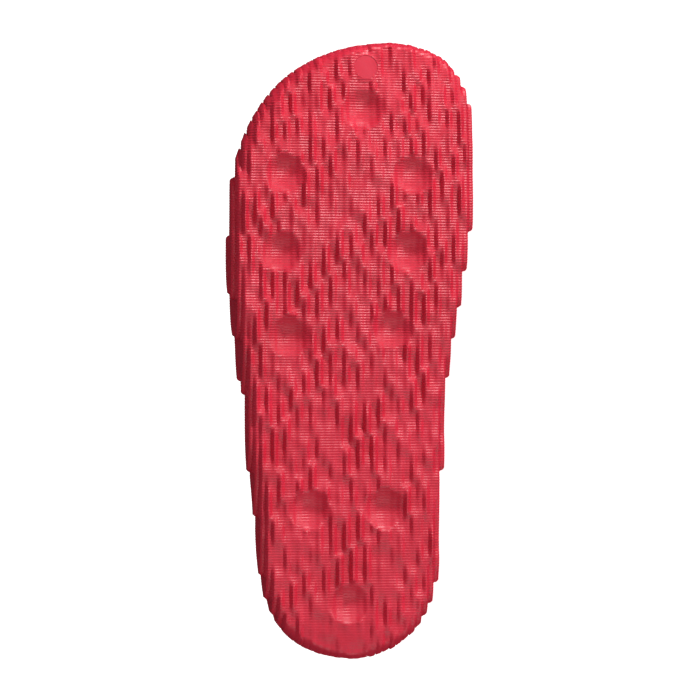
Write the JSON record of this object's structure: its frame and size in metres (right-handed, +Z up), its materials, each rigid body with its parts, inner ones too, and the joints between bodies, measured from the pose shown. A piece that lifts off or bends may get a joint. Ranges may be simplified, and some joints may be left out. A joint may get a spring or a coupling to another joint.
{
  "type": "sport slide sandal",
  "caption": "Right foot slide sandal of moulded foam: sole with stepped wall, sliced tread and round dishes, recessed footbed and one broad arched strap, lying on its inner side.",
  "frame": {"origin": "on the floor under the middle of the part's box, as the sandal lies on its inner side", "axes": "+X from heel to toe along the floor, -Y the way the tread faces, +Y towards the top of the strap, +Z up, which is the outer side of the foot"},
  "size_m": [0.2888, 0.1004, 0.1142],
  "materials": {
    "sole_foam": "red moulded foam, satin",
    "footbed_foam": "red moulded foam, matt",
    "strap_foam": "red moulded foam, satin"
  },
  "bodies": {
    "root": {"sole_unit": "sole_foam", "footbed": "footbed_foam", "strap_upper": "strap_foam"}
  },
  "joints": []
}
